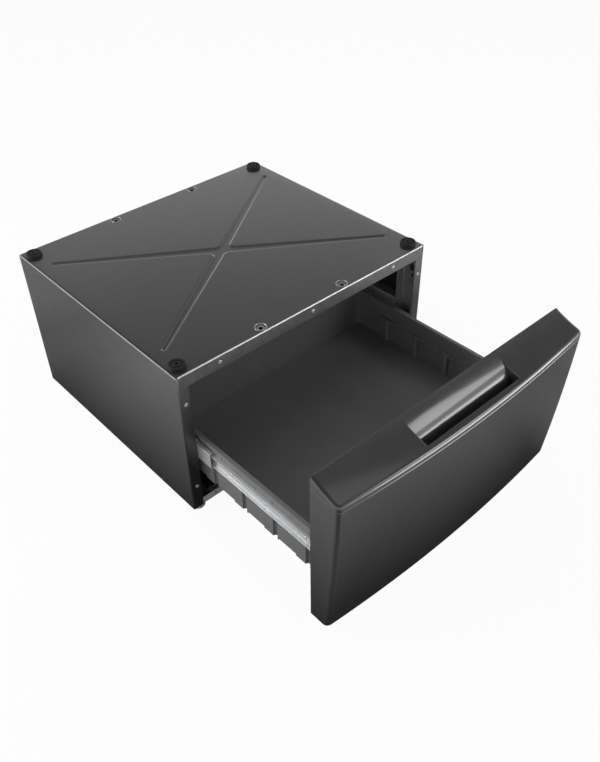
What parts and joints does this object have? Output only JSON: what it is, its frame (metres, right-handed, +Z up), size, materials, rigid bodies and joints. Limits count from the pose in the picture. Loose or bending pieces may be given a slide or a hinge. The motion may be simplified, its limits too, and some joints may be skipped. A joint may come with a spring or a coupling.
{
  "type": "laundry pedestal with storage drawer",
  "caption": "Low steel stand for a front-loading washer or dryer, with a full-width storage drawer on ball slides, shown drawn out, and adjustable feet.",
  "frame": {"origin": "on the floor under the middle of the stand with its drawer out as stored", "axes": "+X to the right seen from the front, +Y to the back, +Z up"},
  "size_m": [0.686, 1.0333, 0.395],
  "materials": {
    "painted_steel": "dark grey metallic enamel, satin",
    "painted_front": "dark grey metallic enamel, semi-gloss",
    "galvanised": "galvanised sheet, dull spangle",
    "zinc": "bright zinc plate",
    "tray_plastic": "moulded, fine texture",
    "black_rubber": "moulded, matt"
  },
  "bodies": {
    "cabinet": {"deck": "painted_steel", "side_panel_left": "painted_steel", "side_panel_right": "painted_steel", "back_panel": "painted_steel", "deck_rail_front": "galvanised", "deck_rail_back": "galvanised", "post_front_left": "galvanised", "post_front_right": "galvanised", "post_back_left": "galvanised", "post_back_right": "galvanised", "base_rail_front": "galvanised", "base_rail_back": "galvanised", "base_rail_left": "galvanised", "base_rail_right": "galvanised", "corner_plates": "galvanised", "foot_nuts": "zinc", "lock_nuts": "zinc", "cabinet_screws": "zinc", "pad_front_left": "black_rubber", "pad_front_right": "black_rubber", "pad_back_left": "black_rubber", "pad_back_right": "black_rubber", "slide_bracket_left": "galvanised", "slide_bracket_right": "galvanised", "cabinet_member_left": "zinc", "cabinet_member_right": "zinc"},
    "drawer": {"tray": "tray_plastic", "drawer_front": "painted_front", "drawer_front_back": "painted_front", "front_cap": "painted_front", "runner_screws": "zinc", "tray_screws": "zinc", "drawer_member_left": "zinc", "drawer_member_right": "zinc"},
    "middle_left": {"middle_member_left": "zinc"},
    "outer_race_left": {"outer_cage_left": "zinc", "outer_balls_left": "zinc"},
    "inner_race_left": {"inner_cage_left": "zinc", "inner_balls_left": "zinc"},
    "middle_right": {"middle_member_right": "zinc"},
    "outer_race_right": {"outer_cage_right": "zinc", "outer_balls_right": "zinc"},
    "inner_race_right": {"inner_cage_right": "zinc", "inner_balls_right": "zinc"},
    "foot_front_left": {"foot_front_left": "zinc"},
    "foot_front_right": {"foot_front_right": "zinc"},
    "foot_back_left": {"foot_back_left": "zinc"},
    "foot_back_right": {"foot_back_right": "zinc"}
  },
  "joints": [
    {"name": "drawer_slide", "type": "slide", "parent": "cabinet", "child": "drawer", "axis": [0, -1, 0], "range_m": [-0.348, 0.072]},
    {"name": "middle_left_slide", "type": "slide", "parent": "cabinet", "child": "middle_left", "axis": [0, -1, 0], "range_m": [-0.174, 0.036]},
    {"name": "outer_race_left_slide", "type": "slide", "parent": "cabinet", "child": "outer_race_left", "axis": [0, -1, 0], "range_m": [-0.087, 0.018]},
    {"name": "inner_race_left_slide", "type": "slide", "parent": "cabinet", "child": "inner_race_left", "axis": [0, -1, 0], "range_m": [-0.261, 0.054]},
    {"name": "middle_right_slide", "type": "slide", "parent": "cabinet", "child": "middle_right", "axis": [0, -1, 0], "range_m": [-0.174, 0.036]},
    {"name": "outer_race_right_slide", "type": "slide", "parent": "cabinet", "child": "outer_race_right", "axis": [0, -1, 0], "range_m": [-0.087, 0.018]},
    {"name": "inner_race_right_slide", "type": "slide", "parent": "cabinet", "child": "inner_race_right", "axis": [0, -1, 0], "range_m": [-0.261, 0.054]},
    {"name": "foot_front_left_screw", "type": "slide", "parent": "cabinet", "child": "foot_front_left", "axis": [0, 0, -1], "range_m": [0, 0.02]},
    {"name": "foot_front_right_screw", "type": "slide", "parent": "cabinet", "child": "foot_front_right", "axis": [0, 0, -1], "range_m": [0, 0.02]},
    {"name": "foot_back_left_screw", "type": "slide", "parent": "cabinet", "child": "foot_back_left", "axis": [0, 0, -1], "range_m": [0, 0.02]},
    {"name": "foot_back_right_screw", "type": "slide", "parent": "cabinet", "child": "foot_back_right", "axis": [0, 0, -1], "range_m": [0, 0.02]}
  ],
  "couplings": [
    {"joint": "middle_left_slide", "follows": "drawer_slide", "ratio": 0.5},
    {"joint": "outer_race_left_slide", "follows": "drawer_slide", "ratio": 0.25},
    {"joint": "inner_race_left_slide", "follows": "drawer_slide", "ratio": 0.75},
    {"joint": "middle_right_slide", "follows": "drawer_slide", "ratio": 0.5},
    {"joint": "outer_race_right_slide", "follows": "drawer_slide", "ratio": 0.25},
    {"joint": "inner_race_right_slide", "follows": "drawer_slide", "ratio": 0.75}
  ]
}
